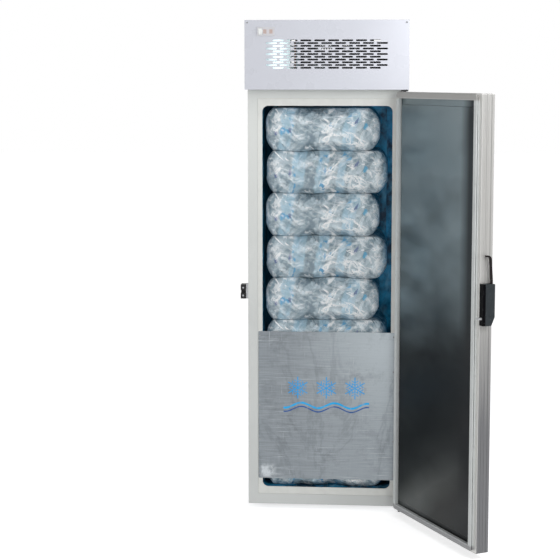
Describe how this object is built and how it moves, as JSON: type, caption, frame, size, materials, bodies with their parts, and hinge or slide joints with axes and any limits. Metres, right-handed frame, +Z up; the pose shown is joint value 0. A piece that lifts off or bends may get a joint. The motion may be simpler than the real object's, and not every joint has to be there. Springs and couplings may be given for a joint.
{
  "type": "ice storage cabinet",
  "caption": "Upright insulated ice storage cabinet with one full door, open, a slotted fascia over it, a guard plate across the lower half of the mouth and sacks of ice inside.",
  "frame": {"origin": "on the floor, in the middle of the cabinet's width and depth, on the base frame's face", "axes": "+Z up, +X to the right seen from the front, -Y towards the front where the door is"},
  "size_m": [1.0462, 1.3366, 2.12],
  "materials": {
    "white_lacquer": "gloss",
    "frame_paint": "satin",
    "breaker_plastic": "satin",
    "galvanised": "satin",
    "dark_stainless": "satin",
    "profile_paint": "satin",
    "foam": "matte",
    "gasket_grey": "satin",
    "black_plastic": "satin",
    "black_metal": "satin",
    "screw_steel": "satin",
    "liner_coat": "gloss",
    "bracket_aluminium": "satin",
    "controller_plastic": "satin",
    "display_lens": "gloss",
    "rocker_white": "gloss",
    "fin_aluminium": "satin",
    "copper": "satin",
    "compressor_black": "gloss",
    "foot_rubber": "matte",
    "box_grey": "satin",
    "drain_plastic": "satin",
    "nylon": "satin",
    "ice_film": "gloss"
  },
  "bodies": {
    "cabinet": {"base_frame": "black_metal", "base_pan": "galvanised", "outer_shell": "white_lacquer", "insulation": "foam", "inner_liner": "liner_coat", "front_frame": "frame_paint", "breaker_frame": "breaker_plastic", "guard_plate": "galvanised", "guard_screws": "screw_steel", "keeper_bracket": "bracket_aluminium", "keeper": "black_plastic", "keeper_screws": "screw_steel", "top_hinge": "black_metal", "bottom_hinge": "black_metal", "machine_deck": "galvanised", "hood_sides": "white_lacquer", "top_cover": "white_lacquer", "rear_grille": "galvanised", "cable_gland": "black_plastic", "fascia": "white_lacquer", "fascia_screws": "screw_steel", "controller": "controller_plastic", "controller_window": "display_lens", "unit_tray": "galvanised", "condenser_coil": "fin_aluminium", "condenser_shroud": "black_metal", "condenser_fan_motor": "black_metal", "compressor_feet": "foot_rubber", "compressor": "compressor_black", "terminal_box": "black_plastic", "discharge_pipe": "copper", "suction_pipe": "copper", "filter_drier": "copper", "electrical_box": "box_grey", "evaporator_cover": "galvanised", "evaporator_coil": "fin_aluminium", "evaporator_fan_motor": "black_metal", "drain_tube": "drain_plastic", "ice_sack_1": "ice_film", "ice_sack_2": "ice_film", "ice_sack_3": "ice_film", "ice_sack_4": "ice_film", "ice_sack_5": "ice_film", "ice_sack_6": "ice_film", "ice_sack_7": "ice_film", "ice_sack_8": "ice_film", "ice_sack_9": "ice_film"},
    "door": {"door_frame": "profile_paint", "door_skin": "white_lacquer", "door_liner": "dark_stainless", "door_foam": "foam", "door_gasket": "gasket_grey", "hinge_bushes": "nylon", "latch_housing": "black_plastic"},
    "lever": {"handle_lever": "black_metal"},
    "tongue": {"latch_tongue": "screw_steel"},
    "lock": {"lock_cylinder": "screw_steel"},
    "rocker": {"rocker_switch": "rocker_white"},
    "condenser_fan_wheel": {"condenser_fan": "black_plastic"},
    "evaporator_fan_wheel": {"evaporator_fan": "black_plastic"}
  },
  "joints": [
    {"name": "door_swing", "type": "hinge", "parent": "cabinet", "child": "door", "pos_m": [0.327, -0.33, 0.028], "axis": [0, 0, 1], "range_deg": [-118, 7]},
    {"name": "handle_pull", "type": "hinge", "parent": "door", "child": "lever", "pos_m": [0.65601, -0.92748, 1.0445], "axis": [-0.4695, 0.8829, 0], "range_deg": [0, 25], "stiffness_Nm_per_rad": 1.2},
    {"name": "latch_draw", "type": "slide", "parent": "door", "child": "tongue", "axis": [-0.8829, -0.4695, 0], "range_m": [-0.0086, 0]},
    {"name": "lock_turn", "type": "hinge", "parent": "door", "child": "lock", "pos_m": [0.66925, -0.92043, 0.995], "axis": [-0.8829, -0.4695, 0], "range_deg": [0, 90]},
    {"name": "rocker_tilt", "type": "hinge", "parent": "cabinet", "child": "rocker", "pos_m": [-0.278, -0.36, 2.072], "axis": [1, 0, 0], "range_deg": [-16, 0]},
    {"name": "condenser_fan_spin", "type": "hinge", "parent": "cabinet", "child": "condenser_fan_wheel", "pos_m": [0.041, -0.249, 1.9465], "axis": [0, 1, 0], "continuous": true},
    {"name": "evaporator_fan_spin", "type": "hinge", "parent": "cabinet", "child": "evaporator_fan_wheel", "pos_m": [0, 0.203, 1.555], "axis": [0, 1, 0], "continuous": true}
  ],
  "couplings": [
    {"joint": "latch_draw", "follows": "handle_pull", "m_per_rad": -0.0194}
  ]
}
